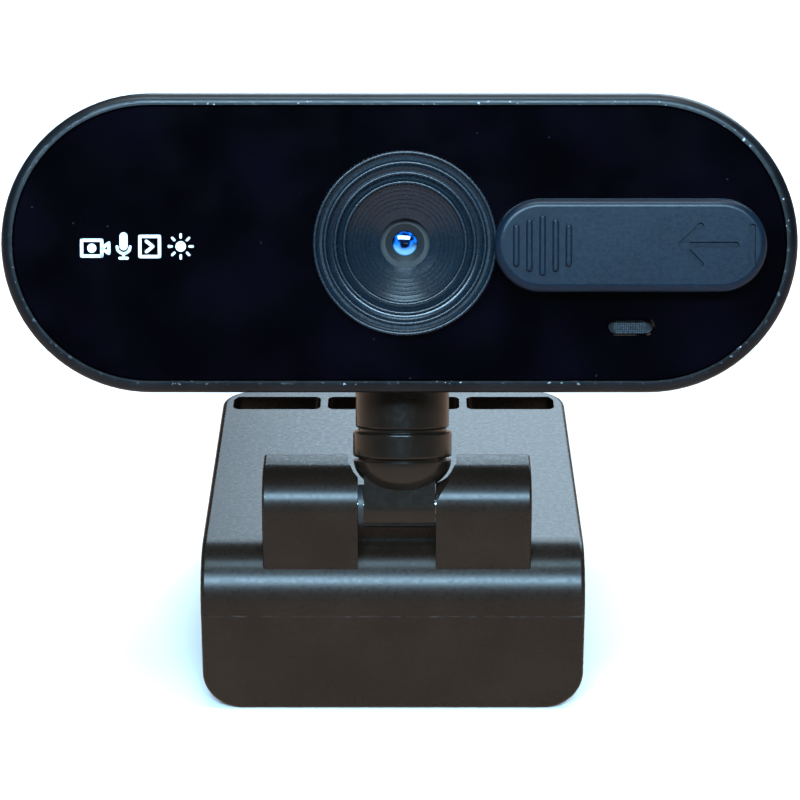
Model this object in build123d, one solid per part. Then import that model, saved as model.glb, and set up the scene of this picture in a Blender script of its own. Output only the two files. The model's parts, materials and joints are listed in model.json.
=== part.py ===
"""Webcam on a folding clip stand.

Frame: millimetres, +Z up, the camera looks towards -Y, +X is to the right of a person facing the
lens.  The stand rests on the plane Z = 0 and the origin is the bottom centre of the bounding box.
The head leans back on the stand at rest.  Its parts are drawn upright about the tilt pivot and
then placed by head_place(); the stand's parts are drawn with Y = 0 on the front of the lip.
"""

import os

from build123d import *

# ---------------------------------------------------------------- driving dimensions, head
LEAN_DEG = 20.0                # how far the head leans back at rest
BODY_W, BODY_H = 80.0, 30.0    # the head's stadium outline
FRONT_Y, BACK_Y = -10.4, 11.0  # front rim and back of the head, from the stem's axis
PARTING_Y = 1.0                # where the front and rear shells meet
WALL = 1.6
RIM = 1.2                      # width of the rim round the glossy panel
FRONT_ROUND, BACK_ROUND = 1.0, 4.5
CENTRE_Z = 27.35               # middle of the head above the tilt pivot
FLOOR_Z = CENTRE_Z - BODY_H / 2

PANEL_Y = -10.1                # face of the glossy panel
PANEL_T = 1.2
SEAT_Y = PANEL_Y + PANEL_T     # the web that the panel is glued to
WEB_T = 1.4
WEB_BACK_Y = SEAT_Y + WEB_T

# ---------------------------------------------------------------- driving dimensions, optics
LENS_X = 0.55                  # the lens sits a little to the right of the middle
RING_R = 9.25
RING_FRONT_Y = -11.5
RING_NECK_R = 7.2
RING_BACK_Y = -6.9
KNURL_TEETH = 90
KNURL_DEPTH = 0.16
BARREL_R = 4.0
BARREL_FRONT_Y, BARREL_BACK_Y = -6.55, -0.5
APERTURE_R = 1.3
RUN = 0.05                     # radial clearance of a running fit

# ---------------------------------------------------------------- driving dimensions, cover
COVER_LEFT_X, COVER_RIGHT_X = 9.4, 36.5
COVER_H = 9.25
COVER_Z = CENTRE_Z - 0.2
COVER_TRAVEL = 13.5
COVER_FRONT_Y, COVER_UNDER_Y = -13.4, -11.8
COVER_BASE_Y = PANEL_Y - 0.15
FOOT_X0, FOOT_X1, FOOT_HALF_H = 27.0, 33.0, 1.3
MIC_X, MIC_Z = 23.2, CENTRE_Z - 8.35
MIC_W, MIC_H = 4.45, 1.35

# ---------------------------------------------------------------- driving dimensions, board
BOARD_Y, BOARD_T = 2.0, 1.2
BOARD_W, BOARD_H = 58.0, 20.0
BOARD_SCREWS = [(-26.0, 7.5), (26.0, 7.5), (-26.0, -7.5), (15.0, -8.0)]
CASE_SCREWS = [(-33.0, 6.8), (33.0, 6.8), (-33.0, -6.8), (33.0, -6.8)]
GLAND_Z = CENTRE_Z - 6.0
GLAND_BORE_R = 1.8

# ---------------------------------------------------------------- driving dimensions, neck
NECK_X = 0.3                   # the neck stands a little to the right of the tilt tab
BOWL_TOP_Z, BOWL_R, BOWL_H = 4.8, 5.1, 3.4
COLLAR_Z0, COLLAR_Z1, COLLAR_R = 5.15, 7.85, 5.15
GROOVE_R = 4.6
SOCKET_Z, SOCKET_R = 8.2, 4.87
POST_R, POST_TOP_Z = 2.5, 12.2
SHOULDER_Z = 11.0
TAB_HALF_W, TAB_R = 3.7, 2.3
PIN_R = 1.25

# ---------------------------------------------------------------- driving dimensions, stand
CLIP_X = -0.7                  # the plate and leg sit a little to the left of the knuckles
CLIP_W, CLIP_DEPTH = 40.3, 45.6
PLATE_TOP_Z, PLATE_T = 17.45, 2.6
BEND_R = 5.9
LIP_CORNER_R, BACK_CORNER_R = 4.2, 4.0
KNUCKLES_X = [(-14.3, -4.35), (3.8, 13.75)]
KNUCKLE_Y0, KNUCKLE_Y1 = 1.75, 8.95
KNUCKLE_TOP_Z = PLATE_TOP_Z + 8.4
KNUCKLE_R = 4.3                # rounding along the knuckles' top front edge
PIVOT_Y, PIVOT_Z = 4.1, PLATE_TOP_Z + 4.6
WINDOW_Y0, WINDOW_Y1 = 39.8, 43.5
WINDOWS_X = [(-18.9, -8.6), (-7.75, 7.75), (8.6, 18.9)]
HINGE_Y, HINGE_Z, HINGE_R = 41.9, 12.0, 2.4
EAR_X0, EAR_X1 = 7.4, 9.0
LEG_HALF_W = 17.5
FOOT_Z0, FOOT_T, FOOT_FRONT_Y = 0.8, 2.6, 5.6
INSERT_Y, INSERT_R, INSERT_H, THREAD_R = 24.0, 4.2, 5.0, 3.175


# ---------------------------------------------------------------- small shape helpers
def box(x0, x1, y0, y1, z0, z1):
    """A block between two opposite corners."""
    middle = Pos((x0 + x1) / 2, (y0 + y1) / 2, (z0 + z1) / 2)
    return middle * Box(x1 - x0, y1 - y0, z1 - z0)


def slab(sketch, y0, y1, x=0.0, z=0.0):
    """A sketch drawn in X and Z, as thick as the span from y0 to y1."""
    return extrude(Plane.XZ.offset(-y1) * Pos(x, z) * sketch, amount=y1 - y0)


def rod_x(radius, x0, x1, y=0.0, z=0.0):
    return extrude(Plane.YZ.offset(x0) * Pos(y, z) * Circle(radius), amount=x1 - x0)


def rod_y(radius, y0, y1, x=0.0, z=0.0):
    return slab(Circle(radius), y0, y1, x, z)


def rod_z(radius, z0, z1, x=0.0, y=0.0):
    return Pos(x, y, z0) * extrude(Circle(radius), amount=z1 - z0)


def stadium(width, height, y0, y1, x=0.0, z=CENTRE_Z):
    return slab(SlotOverall(width, height), y0, y1, x, z)


def turned(points, axis=Axis.Y):
    """A closed outline of (radius, height) points, turned about the axis."""
    return revolve(make_face(Polyline(*points, close=True)), axis=axis)


def screw_y(head_r, head_t, shank_r, length, seat_y, x, z):
    """A pan-head screw whose head rests on seat_y and whose shank points to -Y."""
    head = rod_y(head_r, seat_y, seat_y + head_t, x, z)
    head = fillet(head.faces().sort_by(Axis.Y)[-1].edges(), head_t * 0.4)
    slot_w, slot_t = head_r * 0.32, head_t * 0.55
    slot_y = seat_y + head_t - slot_t
    cross = box(x - head_r * 0.6, x + head_r * 0.6, slot_y, slot_y + head_t, z - slot_w / 2, z + slot_w / 2)
    cross += box(x - slot_w / 2, x + slot_w / 2, slot_y, slot_y + head_t, z - head_r * 0.6, z + head_r * 0.6)
    return head - cross + rod_y(shank_r, seat_y - length, seat_y, x, z)


def both_sides(shape):
    return shape + mirror(shape, about=Plane.YZ)


# ---------------------------------------------------------------- head: housing
def front_shell():
    shell = stadium(BODY_W, BODY_H, FRONT_Y, PARTING_Y)
    shell = fillet(shell.faces().sort_by(Axis.Y)[0].edges(), FRONT_ROUND)
    shell -= stadium(BODY_W - 2 * RIM, BODY_H - 2 * RIM, FRONT_Y, SEAT_Y)
    shell -= stadium(BODY_W - 2 * WALL, BODY_H - 2 * WALL, WEB_BACK_Y, PARTING_Y)
    shell -= rod_y(RING_NECK_R + 0.1, SEAT_Y, WEB_BACK_Y, LENS_X, CENTRE_Z)
    shell -= cover_slot(SEAT_Y, WEB_BACK_Y)
    shell -= rod_y(1.6, SEAT_Y, WEB_BACK_Y, MIC_X, MIC_Z)
    for x, z in BOARD_SCREWS:
        shell += rod_y(2.0, WEB_BACK_Y, BOARD_Y, x, CENTRE_Z + z)
    for x, z in BOARD_SCREWS:
        shell -= rod_y(0.8, BOARD_Y - 6.0, BOARD_Y, x, CENTRE_Z + z)
    for x, z in CASE_SCREWS:
        shell += rod_y(2.9, WEB_BACK_Y, PARTING_Y, x, CENTRE_Z + z)
    for x, z in CASE_SCREWS:
        shell -= rod_y(0.85, PARTING_Y - 6.0, PARTING_Y, x, CENTRE_Z + z)
    shelf_z = FLOOR_Z + WALL + 1.3
    shelf = box(-8, 8, WEB_BACK_Y, PARTING_Y, shelf_z, shelf_z + 1.2)
    shell += shelf - rod_z(4.3, shelf_z, shelf_z + 1.2, NECK_X)
    return shell - rod_z(SOCKET_R + RUN, FLOOR_Z - 1, FLOOR_Z + WALL + 0.5, NECK_X)


def rear_shell():
    shell = stadium(BODY_W, BODY_H, PARTING_Y, BACK_Y)
    shell = fillet(shell.faces().sort_by(Axis.Y)[-1].edges(), BACK_ROUND)
    hollow = stadium(BODY_W - 2 * WALL, BODY_H - 2 * WALL, PARTING_Y, BACK_Y - WALL)
    shell -= fillet(hollow.faces().sort_by(Axis.Y)[-1].edges(), BACK_ROUND - WALL)
    tongue = stadium(BODY_W - 2 * WALL - 0.1, BODY_H - 2 * WALL - 0.1, PARTING_Y - 1.5, PARTING_Y + 1.5)
    tongue += stadium(BODY_W - WALL, BODY_H - WALL, PARTING_Y, PARTING_Y + 1.5)
    tongue -= stadium(BODY_W - 2 * WALL - 1.7, BODY_H - 2 * WALL - 1.7, PARTING_Y - 1.5, PARTING_Y + 1.5)
    for x, z in CASE_SCREWS:
        tongue -= rod_y(3.2, PARTING_Y - 1.5, PARTING_Y + 1.5, x, CENTRE_Z + z)
    tongue -= box(-6.5, 6.5, PARTING_Y - 1.5, PARTING_Y + 1.5, FLOOR_Z, FLOOR_Z + WALL + 2.0)
    shell += tongue
    inside = stadium(BODY_W - WALL, BODY_H - WALL, PARTING_Y, BACK_Y - WALL / 2)
    for x, z in CASE_SCREWS:
        shell += rod_y(2.9, PARTING_Y, BACK_Y, x, CENTRE_Z + z) & inside
    for x, z in CASE_SCREWS:
        shell -= rod_y(2.1, 5.0, BACK_Y, x, CENTRE_Z + z)
        shell -= rod_y(1.1, PARTING_Y, 5.0, x, CENTRE_Z + z)
    shell -= rod_y(2.6, BACK_Y - WALL - 1, BACK_Y + 1, 0, GLAND_Z)
    return shell - rod_z(SOCKET_R + RUN, FLOOR_Z - 1, FLOOR_Z + WALL + 1.5, NECK_X)


def cover_slot(y0, y1):
    gap = 1.3
    width = FOOT_X1 - FOOT_X0 + COVER_TRAVEL + 2 * gap
    middle = (FOOT_X0 + FOOT_X1 - COVER_TRAVEL) / 2
    return stadium(width, 2 * FOOT_HALF_H + 0.4, y0, y1, middle)


def front_panel():
    gap = 0.05
    panel = stadium(BODY_W - 2 * RIM - 2 * gap, BODY_H - 2 * RIM - 2 * gap, PANEL_Y, SEAT_Y)
    panel -= rod_y(RING_NECK_R + 0.1, PANEL_Y, SEAT_Y, LENS_X, CENTRE_Z)
    panel -= cover_slot(PANEL_Y, SEAT_Y)
    panel -= stadium(MIC_W, MIC_H, PANEL_Y, SEAT_Y, MIC_X, MIC_Z)
    front = panel.faces().sort_by(Axis.Y)[0]
    mic_edges = [e for e in front.edges() if abs((e @ 0.5).Z - MIC_Z) < 1 and abs((e @ 0.5).X - MIC_X) < 3]
    panel = chamfer(mic_edges, 0.2)
    return chamfer(panel.faces().sort_by(Axis.Y)[0].outer_wire().edges(), 0.15)


def cable_gland():
    """A rubber grommet whose groove holds the rear wall, with the bore for the lead."""
    inner_y, outer_y = BACK_Y - WALL, BACK_Y
    gland = rod_y(3.4, inner_y - 1.0, inner_y, 0, GLAND_Z)
    gland += rod_y(2.6, inner_y, outer_y, 0, GLAND_Z)
    collar = rod_y(3.7, outer_y, outer_y + 1.4, 0, GLAND_Z)
    gland += fillet(collar.faces().sort_by(Axis.Y)[-1].edges(), 0.7)
    return gland - rod_y(GLAND_BORE_R, inner_y - 2, outer_y + 3, 0, GLAND_Z)


def case_screws():
    return [screw_y(1.75, 1.4, 0.85, 8.0, 5.0, x, CENTRE_Z + z) for x, z in CASE_SCREWS]


# ---------------------------------------------------------------- head: lens and focus
def focus_ring():
    """A knurled ring whose stepped funnel leads down to the lens."""
    steps = [(3.6, -8.1, -8.4), (4.2, -8.5, -8.85), (4.8, -8.95, -9.25), (5.3, -9.35, -9.6)]
    rims = [(6.1, -10.0, -10.5), (7.15, -10.5, -11.0), (8.2, -11.0, RING_FRONT_Y)]
    outline = [(2.5, RING_BACK_Y), (2.5, -7.6)]
    for radius, low, high in steps + rims:
        outline += [(radius, low), (radius, high)]
    outline += [(RING_R - 0.2, RING_FRONT_Y), (RING_R, RING_FRONT_Y + 0.2), (RING_R, PANEL_Y - 0.2)]
    outline += [(RING_NECK_R, PANEL_Y - 0.2), (RING_NECK_R, RING_BACK_Y)]
    ring = turned(outline)
    ring += rod_y(5.3, RING_BACK_Y, -4.0) - rod_y(BARREL_R + 0.2, RING_BACK_Y, -4.0)
    ring -= box(-6, 6, RING_BACK_Y, -4.0, -0.65, 0.65) & (
        rod_y(6, RING_BACK_Y, -4.0) - rod_y(BARREL_R, RING_BACK_Y, -4.0)
    )
    ring -= knurl()
    return Pos(LENS_X, 0, CENTRE_Z) * ring


def knurl():
    """The V grooves round the ring's rim, as one solid between two outlines."""
    tips = []
    for i in range(KNURL_TEETH):
        tips.append(Vector(RING_R + 0.02, 0).rotate(Axis.Z, 360 * i / KNURL_TEETH))
        tips.append(Vector(RING_R - KNURL_DEPTH, 0).rotate(Axis.Z, 360 * (i + 0.5) / KNURL_TEETH))
    star = make_face(Polyline(*[(p.X, p.Y) for p in tips], close=True))
    return slab(Circle(RING_R + 1) - star, RING_FRONT_Y + 0.25, PANEL_Y - 0.2)


def focus_retainer():
    """The snap ring behind the web that keeps the focus ring in its hole."""
    ring = rod_y(8.3, WEB_BACK_Y + 0.1, RING_BACK_Y, LENS_X, CENTRE_Z)
    return ring - rod_y(RING_NECK_R, WEB_BACK_Y, RING_BACK_Y, LENS_X, CENTRE_Z)


def lens_barrel():
    """The threaded barrel: two keys on its nose are turned by the focus ring's slots."""
    barrel = rod_y(BARREL_R, BARREL_FRONT_Y, BARREL_BACK_Y)
    barrel = chamfer(barrel.faces().sort_by(Axis.Y)[0].edges(), 0.25)
    barrel += box(-5.1, 5.1, -6.0, -4.6, -0.55, 0.55)
    barrel -= rod_y(2.0, BARREL_FRONT_Y + 0.6, BARREL_BACK_Y)
    barrel -= rod_y(APERTURE_R, BARREL_FRONT_Y, BARREL_FRONT_Y + 0.6)
    barrel -= turned([(0, BARREL_FRONT_Y), (2.0, BARREL_FRONT_Y), (0, BARREL_FRONT_Y + 1.2)])
    return Pos(LENS_X, 0, CENTRE_Z) * barrel


def lens(radius, flat_y, edge_t, bulge, forward):
    """A plano-convex lens: a flat back, a short cylindrical edge and a spherical face."""
    side = -1 if forward else 1
    edge_y, top_y = flat_y + side * edge_t, flat_y + side * (edge_t + bulge)
    curve = ThreePointArc((0, top_y), (radius * 0.52, top_y - side * bulge * 0.26), (radius, edge_y))
    sides = Polyline((radius, edge_y), (radius, flat_y), (0, flat_y), (0, top_y))
    return Pos(LENS_X, 0, CENTRE_Z) * revolve(make_face([curve, sides]), axis=Axis.Y)


def lens_holder():
    half = 6.0
    holder = box(LENS_X - half, LENS_X + half, -3.2, BOARD_Y, CENTRE_Z - half, CENTRE_Z + half)
    holder = fillet(holder.edges().filter_by(Axis.Y), 1.0)
    holder += box(LENS_X - 9.5, LENS_X + 9.5, 0.8, BOARD_Y, CENTRE_Z - 2.2, CENTRE_Z + 2.2)
    holder -= rod_y(BARREL_R + RUN, -3.2, 0.0, LENS_X, CENTRE_Z)
    holder -= box(LENS_X - 3, LENS_X + 3, 0.0, BOARD_Y, CENTRE_Z - 3, CENTRE_Z + 3)
    holder -= rod_y(3.4, -0.01, 0.5, LENS_X, CENTRE_Z)
    for side in (-1, 1):
        holder -= rod_y(0.85, 0.8, BOARD_Y, LENS_X + side * 8, CENTRE_Z)
    return holder


# ---------------------------------------------------------------- head: electronics
def main_board():
    y1 = BOARD_Y + BOARD_T
    board = box(-BOARD_W / 2, BOARD_W / 2, BOARD_Y, y1, CENTRE_Z - BOARD_H / 2, CENTRE_Z + BOARD_H / 2)
    board = fillet(board.edges().filter_by(Axis.Y), 2.0)
    for x, z in BOARD_SCREWS:
        board -= rod_y(1.1, BOARD_Y, y1, x, CENTRE_Z + z)
    for side in (-1, 1):
        board -= rod_y(0.85, BOARD_Y, y1, LENS_X + side * 8, CENTRE_Z)
    return board


def on_board(x, z, width, height, thickness):
    """A chip on the back of the board, centred on x and z from the board's middle."""
    y0 = BOARD_Y + BOARD_T
    z += CENTRE_Z
    return box(x - width / 2, x + width / 2, y0, y0 + thickness, z - height / 2, z + height / 2)


def controller_chip():
    return chamfer(on_board(-14, 0, 7, 7, 0.9).faces().sort_by(Axis.Y)[-1].edges(), 0.15)


def board_capacitors():
    places = [(-20, 6), (-17, 6), (-14, 6), (-8, 6), (-20, -6), (-17, -6), (-9, -6), (0, 7), (3, 7), (20, 3)]
    return [on_board(x, z, 1.6, 0.8, 0.8) for x, z in places]


def cable_connector():
    """A five-way header on the board, where the lead's plug goes."""
    header = on_board(18, -4, 9.0, 4.0, 4.4)
    y1 = BOARD_Y + BOARD_T + 4.4
    return header - box(14.3, 21.7, y1 - 3.4, y1, CENTRE_Z - 5.2, CENTRE_Z - 2.8)


def connector_pins():
    y0 = BOARD_Y + BOARD_T + 1.0
    return [box(x - 0.25, x + 0.25, y0, y0 + 2.4, CENTRE_Z - 4.25, CENTRE_Z - 3.75) for x in (15, 16.5, 18, 19.5, 21)]


def image_sensor():
    half = 2.7
    return box(LENS_X - half, LENS_X + half, BOARD_Y - 1.0, BOARD_Y, CENTRE_Z - half, CENTRE_Z + half)


def ir_filter():
    half = 2.8
    return box(LENS_X - half, LENS_X + half, 0.55, 0.85, CENTRE_Z - half, CENTRE_Z + half)


def mic_boot():
    boot = stadium(6.4, 4.6, WEB_BACK_Y, WEB_BACK_Y + 3.0, MIC_X, MIC_Z)
    boot -= rod_y(2.0, WEB_BACK_Y + 0.8, WEB_BACK_Y + 3.0, MIC_X, MIC_Z)
    return boot - rod_y(0.8, WEB_BACK_Y, WEB_BACK_Y + 0.8, MIC_X, MIC_Z)


def board_screws():
    seat = BOARD_Y + BOARD_T
    return [screw_y(1.75, 1.2, 0.8, 5.0, seat, x, CENTRE_Z + z) for x, z in BOARD_SCREWS]


def holder_screws():
    seat = BOARD_Y + BOARD_T
    return [screw_y(1.5, 1.0, 0.85, 2.4, seat, LENS_X + side * 8, CENTRE_Z) for side in (-1, 1)]


# ---------------------------------------------------------------- privacy cover
def privacy_cover():
    """The sliding cover: a raised plate that passes over the focus ring, on a base and a foot."""
    length = COVER_RIGHT_X - COVER_LEFT_X
    middle = (COVER_LEFT_X + COVER_RIGHT_X) / 2
    cover = stadium(length, COVER_H, COVER_FRONT_Y, COVER_UNDER_Y, middle, COVER_Z)
    cover = fillet(cover.faces().sort_by(Axis.Y)[0].edges(), 0.8)
    base_x0, base_x1 = 24.5, COVER_RIGHT_X - 0.5
    base = stadium(base_x1 - base_x0, COVER_H - 1.0, COVER_UNDER_Y, COVER_BASE_Y, (base_x0 + base_x1) / 2, COVER_Z)
    foot = box(FOOT_X0, FOOT_X1, COVER_BASE_Y, WEB_BACK_Y + 0.2, CENTRE_Z - FOOT_HALF_H, CENTRE_Z + FOOT_HALF_H)
    foot = fillet(foot.edges().filter_by(Axis.Y), 0.6)
    pilot = rod_y(0.7, COVER_BASE_Y, WEB_BACK_Y + 0.2, (FOOT_X0 + FOOT_X1) / 2, CENTRE_Z)
    return cover + base + foot - pilot + grip_ribs() - slide_mark()


def grip_ribs():
    """Five raised ribs for a fingertip, the middle one the longest."""
    ribs = None
    for i, height in enumerate((4.2, 5.2, 6.0, 5.2, 4.2)):
        upright = Rot(0, 0, 90) * SlotOverall(height, 0.6)
        rib = slab(upright, COVER_FRONT_Y - 0.4, COVER_FRONT_Y + 0.3, COVER_LEFT_X + 2.15 + 1.3 * i, COVER_Z)
        rib = fillet(rib.faces().sort_by(Axis.Y)[0].edges(), 0.2)
        ribs = rib if ribs is None else ribs + rib
    return ribs


def slide_mark():
    """An engraved arrow that points the way the cover closes, and a bar for its stop."""
    depth, stroke = 0.35, 0.7
    tip = Vector(27.9, 0)
    mark = SlotCenterToCenter(5.4, stroke).moved(Location((tip.X + 2.7, 0)))
    for side in (-1, 1):
        barb = Pos(tip.X + 0.95, side * 0.95) * Rot(0, 0, side * 45) * SlotCenterToCenter(2.7, stroke)
        mark += barb
    mark += Pos(tip.X + 7.0, 0) * Rot(0, 0, 90) * SlotCenterToCenter(3.6, stroke)
    return slab(mark, COVER_FRONT_Y, COVER_FRONT_Y + depth, 0, COVER_Z)


def cover_retainer():
    y0 = WEB_BACK_Y + 0.2
    plate = box(FOOT_X0 - 1.5, FOOT_X1 + 1.5, y0, y0 + 1.0, CENTRE_Z - 2.9, CENTRE_Z + 2.9)
    plate = fillet(plate.edges().filter_by(Axis.Y), 0.8)
    return plate - rod_y(0.9, y0, y0 + 1.0, (FOOT_X0 + FOOT_X1) / 2, CENTRE_Z)


def cover_screw():
    return screw_y(1.5, 1.0, 0.7, 3.2, WEB_BACK_Y + 1.2, (FOOT_X0 + FOOT_X1) / 2, CENTRE_Z)


# ---------------------------------------------------------------- neck
def swivel_socket():
    """The fixed upper half of the neck: its flange is trapped between the two shells."""
    top = FLOOR_Z + WALL
    socket = rod_z(SOCKET_R, SOCKET_Z, top + 1.25)
    socket = fillet(socket.faces().sort_by(Axis.Z)[0].edges(), 0.25)
    socket += rod_z(6.0, top + 0.05, top + 1.25)
    socket -= rod_z(POST_R + RUN, SOCKET_Z, SHOULDER_Z)
    return Pos(NECK_X, 0, 0) * (socket - rod_z(4.0, SHOULDER_Z, top + 1.25))


def swivel_collar():
    collar = rod_z(COLLAR_R, COLLAR_Z0, COLLAR_Z1)
    collar = fillet(collar.faces().filter_by(GeomType.PLANE).edges(), 0.3)
    collar += rod_z(GROOVE_R, BOWL_TOP_Z, SOCKET_Z - RUN)
    return Pos(NECK_X, 0, 0) * (collar - rod_z(POST_R, BOWL_TOP_Z, SOCKET_Z))


def tilt_arm():
    """The bowl under the collar, the post that the head swivels on, and the tab that tilts."""
    arc = EllipticalCenterArc((0, 0), BOWL_R, BOWL_H, start_angle=270, arc_size=90)
    sides = Polyline((BOWL_R, 0), (0, 0), (0, -BOWL_H))
    bowl = revolve(Plane.XZ * make_face([arc, sides]), axis=Axis.Z)
    arm = Pos(NECK_X, 0, BOWL_TOP_Z) * bowl
    arm += rod_x(TAB_R, -TAB_HALF_W, TAB_HALF_W)
    arm += box(-TAB_HALF_W, TAB_HALF_W, -TAB_R, TAB_R, 0, BOWL_TOP_Z - 0.6)
    arm += rod_z(POST_R, BOWL_TOP_Z - 1, POST_TOP_Z, NECK_X)
    arm -= rod_z(1.1, 6.5, POST_TOP_Z, NECK_X)
    return arm - rod_x(PIN_R + RUN, -TAB_HALF_W, TAB_HALF_W)


def swivel_spring():
    """A conical spring washer between the socket's shoulder and the flat washer."""
    low, high, thick = SHOULDER_Z + 0.05, POST_TOP_Z, 0.35
    outline = [(2.6, high), (3.8, low + thick), (3.8, low), (2.6, high - thick)]
    return Pos(NECK_X, 0, 0) * turned_z(outline)


def turned_z(points):
    return revolve(Plane.XZ * make_face(Polyline(*points, close=True)), axis=Axis.Z)


def swivel_washer():
    washer = rod_z(3.6, POST_TOP_Z, POST_TOP_Z + 0.6, NECK_X)
    return washer - rod_z(1.2, POST_TOP_Z, POST_TOP_Z + 0.6, NECK_X)


def swivel_screw():
    seat = POST_TOP_Z + 0.6
    head = rod_z(2.2, seat, seat + 1.4)
    head = fillet(head.faces().sort_by(Axis.Z)[-1].edges(), 0.5)
    head -= box(-1.4, 1.4, -0.35, 0.35, seat + 0.7, seat + 2) + box(-0.35, 0.35, -1.4, 1.4, seat + 0.7, seat + 2)
    return Pos(NECK_X, 0, 0) * (head + rod_z(1.1, 6.5, seat))


# ---------------------------------------------------------------- stand: bracket
def clip_bracket():
    """The moulded bracket: top plate, front lip, two knuckles and two hinge ears."""
    inner_r, low = BEND_R - PLATE_T, PLATE_TOP_Z - PLATE_T
    bend_z = PLATE_TOP_Z - BEND_R
    outline = [
        Line((0, 0), (0, bend_z)),
        RadiusArc((0, bend_z), (BEND_R, PLATE_TOP_Z), BEND_R),
        Line((BEND_R, PLATE_TOP_Z), (CLIP_DEPTH, PLATE_TOP_Z)),
        Line((CLIP_DEPTH, PLATE_TOP_Z), (CLIP_DEPTH, low)),
        Line((CLIP_DEPTH, low), (BEND_R, low)),
        RadiusArc((BEND_R, low), (PLATE_T, bend_z), -inner_r),
        Line((PLATE_T, bend_z), (PLATE_T, 0)),
        Line((PLATE_T, 0), (0, 0)),
    ]
    bracket = extrude(Plane.YZ * make_face(outline), amount=CLIP_W / 2, both=True)
    lip_corners = bracket.edges().filter_by(Axis.Y).group_by(Axis.Z)[0]
    bracket = fillet([e for e in lip_corners if abs(e.center().X) > CLIP_W / 2 - 0.01], LIP_CORNER_R)
    back_corners = bracket.edges().filter_by(Axis.Z).group_by(Axis.Y)[-1]
    bracket = fillet(back_corners, BACK_CORNER_R)
    rims = [e for e in bracket.edges() if is_outer_rim(e)]
    bracket = fillet(rims, 0.5)
    for x0, x1 in WINDOWS_X:
        bracket -= window(x0, x1)
    ear = rod_x(HINGE_R, EAR_X0, EAR_X1, HINGE_Y, HINGE_Z)
    ear += box(EAR_X0, EAR_X1, HINGE_Y - HINGE_R, HINGE_Y + HINGE_R, HINGE_Z, PLATE_TOP_Z - PLATE_T)
    bracket += both_sides(ear)
    bracket -= rod_x(PIN_R, -CLIP_W, CLIP_W, HINGE_Y, HINGE_Z)
    bracket = Pos(CLIP_X, 0, 0) * bracket
    for x0, x1 in KNUCKLES_X:
        bracket += knuckle(x0, x1)
    saddle_x0, saddle_x1 = KNUCKLES_X[0][1] - 0.5, KNUCKLES_X[1][0] + 0.5
    bracket += box(saddle_x0, saddle_x1, 5.6, KNUCKLE_Y1, PLATE_TOP_Z - 1, PLATE_TOP_Z + 2.0)
    bracket -= bowl_relief()
    low, high = KNUCKLES_X[0][0] + 0.8, KNUCKLES_X[1][1] - 0.8
    return bracket - rod_x(PIN_R, low, high, PIVOT_Y, PIVOT_Z)


def is_outer_rim(edge):
    """The edges round the outside of the bent plate, at its top and front faces."""
    middle = edge @ 0.5
    on_side = abs(middle.X) > CLIP_W / 2 - LIP_CORNER_R and edge.geom_type != GeomType.LINE
    along_side = abs(abs(middle.X) - CLIP_W / 2) < 0.01
    return (along_side or on_side) and edge.length > 0.1


def window(x0, x1):
    """A slot over one of the leg's hinge barrels."""
    low = PLATE_TOP_Z - PLATE_T
    block = box(x0, x1, WINDOW_Y0, WINDOW_Y1, low - 0.5, PLATE_TOP_Z + 0.5)
    block = fillet(block.edges().filter_by(Axis.Z), 0.8)
    plan = extrude(Pos(0, 0, low - 0.5) * RectangleRounded(CLIP_W - 2.2, 2 * (CLIP_DEPTH - 0.9), 3.2), amount=4)
    return block & plan


def knuckle(x0, x1):
    """One ear of the tilt hinge, with a broad rounding along its front and a narrow one behind."""
    side = box(x0, x1, KNUCKLE_Y0, KNUCKLE_Y1, PLATE_TOP_Z - 2, KNUCKLE_TOP_Z)
    side = fillet(side.edges().filter_by(Axis.X).group_by(Axis.Z)[-1].sort_by(Axis.Y)[0], KNUCKLE_R)
    side = fillet(side.edges().filter_by(Axis.X).group_by(Axis.Z)[-1].sort_by(Axis.Y)[-1], 0.5)
    end = side.faces().sort_by(Axis.X)[-1 if x0 > 0 else 0]
    return fillet([e for e in end.edges() if (e @ 0.5).Z > PLATE_TOP_Z], 0.3)


def bowl_relief():
    """The hollow in the knuckles' inner top corners, where the bowl of the neck swings past."""
    outline = [(3.3, 2.35), (3.7, 2.4), (4.3, 2.7), (4.7, 3.0), (5.1, 3.5), (5.45, 4.2), (5.75, 4.5), (5.75, 9), (3.3, 9)]
    cut = revolve(make_face(Polyline(*[(NECK_X + x, r) for x, r in outline], close=True)), axis=Axis.X)
    cut += revolve(make_face(Polyline(*[(NECK_X - x, r) for x, r in outline], close=True)), axis=Axis.X)
    cut &= box(-9, 9, -9, 9, 0.3, 9)
    return Pos(0, PIVOT_Y, PIVOT_Z) * cut


def tilt_pin():
    return rod_x(PIN_R, KNUCKLES_X[0][0] + 0.8, KNUCKLES_X[1][1] - 0.8, PIVOT_Y, PIVOT_Z)


def tilt_washer():
    """The friction washer that pushes the tab against the other knuckle."""
    x0, x1 = KNUCKLES_X[0][1] + 0.05, -TAB_HALF_W - 0.05
    return rod_x(2.2, x0, x1, PIVOT_Y, PIVOT_Z) - rod_x(PIN_R, x0, x1, PIVOT_Y, PIVOT_Z)


def lip_pad():
    pad = box(-16, 16, PLATE_T, PLATE_T + 1.0, 1.6, 10.6)
    return fillet(pad.edges().filter_by(Axis.Y), 2.0)


def plate_pad():
    low = PLATE_TOP_Z - PLATE_T
    pad = box(-15, 15, 8, 36, low - 0.8, low)
    return fillet(pad.edges().filter_by(Axis.Z), 2.0)


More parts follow.
